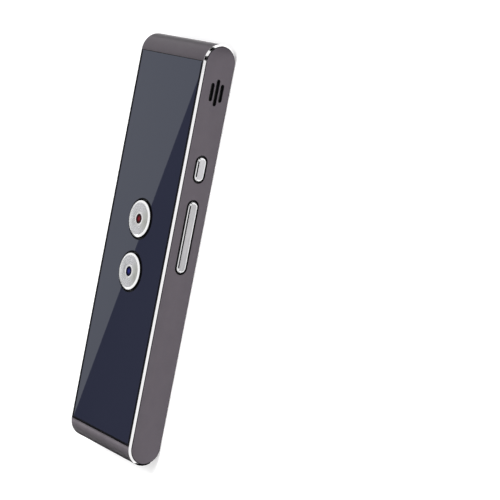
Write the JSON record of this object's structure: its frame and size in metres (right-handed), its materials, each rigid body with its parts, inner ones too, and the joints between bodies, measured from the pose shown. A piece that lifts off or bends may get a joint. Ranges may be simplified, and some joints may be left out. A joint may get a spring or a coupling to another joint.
{
  "type": "handheld translator",
  "caption": "Slim handheld voice translator: a flat metal bar with round ends, a dark gloss front panel with spun round keys, side keys, speaker slots and a charging socket.",
  "frame": {"origin": "centre of the flat back face, on which the device lies", "axes": "+Y along the length towards the speaker end, +X towards the side with the keys, +Z out through the front panel"},
  "size_m": [0.0389, 0.14, 0.0133],
  "materials": {
    "housing_metal": "fine blasted, mauve-grey, with polished cut edges",
    "panel_gloss": "high gloss, dark blue-grey",
    "key_metal": "spun, with polished bevels",
    "side_key_metal": "satin, light grey",
    "red_inlay": "gloss red",
    "blue_inlay": "gloss blue",
    "dark_plastic": "moulded, fine grain",
    "frame_plastic": "glass-filled, fine grain",
    "white_plastic": "moulded, off-white",
    "adhesive": "double-sided film",
    "foam": "open-cell foam",
    "soft_rubber": "soft, matt",
    "circuit_board": "solder resist over glass fibre",
    "chip_resin": "moulded resin",
    "flex_film": "polyimide film",
    "plated_steel": "plated",
    "dome_steel": "thin sprung sheet",
    "gold_contact": "gold plated",
    "cell_foil": "laminated foil pouch",
    "lead_sleeve": "soft sleeve",
    "magnet_steel": "nickel plated",
    "speaker_film": "thin formed film",
    "steel_mesh": "blackened fine weave"
  },
  "bodies": {
    "device": {"rear_housing": "housing_metal", "front_panel": "panel_gloss", "panel_tape": "adhesive", "front_frame": "frame_plastic", "frame_screws": "plated_steel", "main_board": "circuit_board", "board_screws": "plated_steel", "processor_chip": "chip_resin", "memory_chip": "chip_resin", "charger_chip": "chip_resin", "clock_crystal": "plated_steel", "radio_shield": "plated_steel", "radio_chip": "chip_resin", "board_passives": "chip_resin", "side_key_bracket": "plated_steel", "side_key_flex": "flex_film", "power_dome": "dome_steel", "volume_down_dome": "dome_steel", "volume_up_dome": "dome_steel", "battery_cell": "cell_foil", "battery_guard_board": "circuit_board", "battery_tape": "adhesive", "battery_foam": "foam", "battery_socket": "white_plastic", "battery_plug": "white_plastic", "battery_leads": "lead_sleeve", "ribbon_cable": "flex_film", "main_ribbon_socket": "white_plastic", "charge_ribbon_socket": "white_plastic", "speaker_basket": "dark_plastic", "speaker_magnet": "magnet_steel", "speaker_diaphragm": "speaker_film", "speaker_gasket": "foam", "speaker_mesh": "steel_mesh", "speaker_cradle": "dark_plastic", "speaker_leads": "lead_sleeve", "charge_board": "circuit_board", "charge_board_screws": "plated_steel", "usb_shell": "plated_steel", "usb_tongue": "dark_plastic", "usb_contacts": "gold_contact", "microphone": "plated_steel", "microphone_boot": "soft_rubber", "microphone_leads": "lead_sleeve", "antenna_film": "flex_film", "red_key_switch": "dark_plastic", "blue_key_switch": "dark_plastic"},
    "red_key": {"red_key_cap": "key_metal", "red_key_dot": "red_inlay", "red_key_carrier": "dark_plastic", "red_key_plunger": "white_plastic"},
    "blue_key": {"blue_key_cap": "key_metal", "blue_key_dot": "blue_inlay", "blue_key_carrier": "dark_plastic", "blue_key_plunger": "white_plastic"},
    "power_key": {"power_key_cap": "side_key_metal", "power_key_carrier": "dark_plastic"},
    "volume_key": {"volume_key_cap": "side_key_metal", "volume_key_carrier": "dark_plastic"}
  },
  "joints": [
    {"name": "red_key_press", "type": "slide", "parent": "device", "child": "red_key", "axis": [0, 0, -1], "range_m": [0, 0.0003], "stiffness_N_per_m": 1500, "springref_m": -0.0006},
    {"name": "blue_key_press", "type": "slide", "parent": "device", "child": "blue_key", "axis": [0, 0, -1], "range_m": [0, 0.0003], "stiffness_N_per_m": 1500, "springref_m": -0.0006},
    {"name": "power_key_press", "type": "slide", "parent": "device", "child": "power_key", "axis": [-1, 0, 0], "range_m": [0, 0.00025], "stiffness_N_per_m": 1500, "springref_m": -0.0006, "deforming": ["power_dome"]},
    {"name": "volume_key_rock", "type": "hinge", "parent": "device", "child": "volume_key", "pos_m": [0.01715, 0.00675, 0.0063], "axis": [0, 0, 1], "range_deg": [-1.5, 1.5], "stiffness_Nm_per_rad": 0.2, "deforming": ["volume_up_dome", "volume_down_dome"]}
  ]
}
